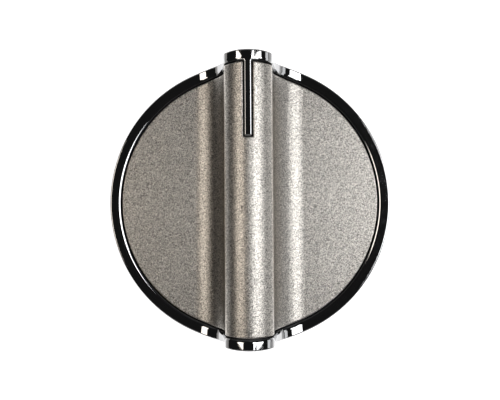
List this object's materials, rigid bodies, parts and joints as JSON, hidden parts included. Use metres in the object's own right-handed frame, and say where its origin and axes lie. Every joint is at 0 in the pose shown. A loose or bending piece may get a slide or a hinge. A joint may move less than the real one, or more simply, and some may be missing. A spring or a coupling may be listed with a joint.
{
  "type": "range knob",
  "caption": "Round control knob with a swept grip bar, a satin face inlaid in a bright plated body, a flush pointer rib and a D-shaped shaft socket behind.",
  "frame": {"origin": "middle of the back rim's flat, on the shaft's axis", "axes": "+Z out of the face along the shaft's axis, +Y towards the pointer, +X to the right seen from the front"},
  "size_m": [0.0542, 0.0542, 0.027],
  "materials": {
    "bright_plating": "bright chrome plating on a moulded body",
    "satin_plating": "fine blasted satin plating on a thin moulding",
    "black_moulding": "black moulded plastic, faintly grained",
    "spring_steel": "bright drawn spring steel"
  },
  "bodies": {
    "root": {"chrome_body": "bright_plating", "satin_cap": "satin_plating", "shaft_hub": "black_moulding", "shaft_spring": "spring_steel", "hub_ring": "spring_steel"}
  },
  "joints": []
}
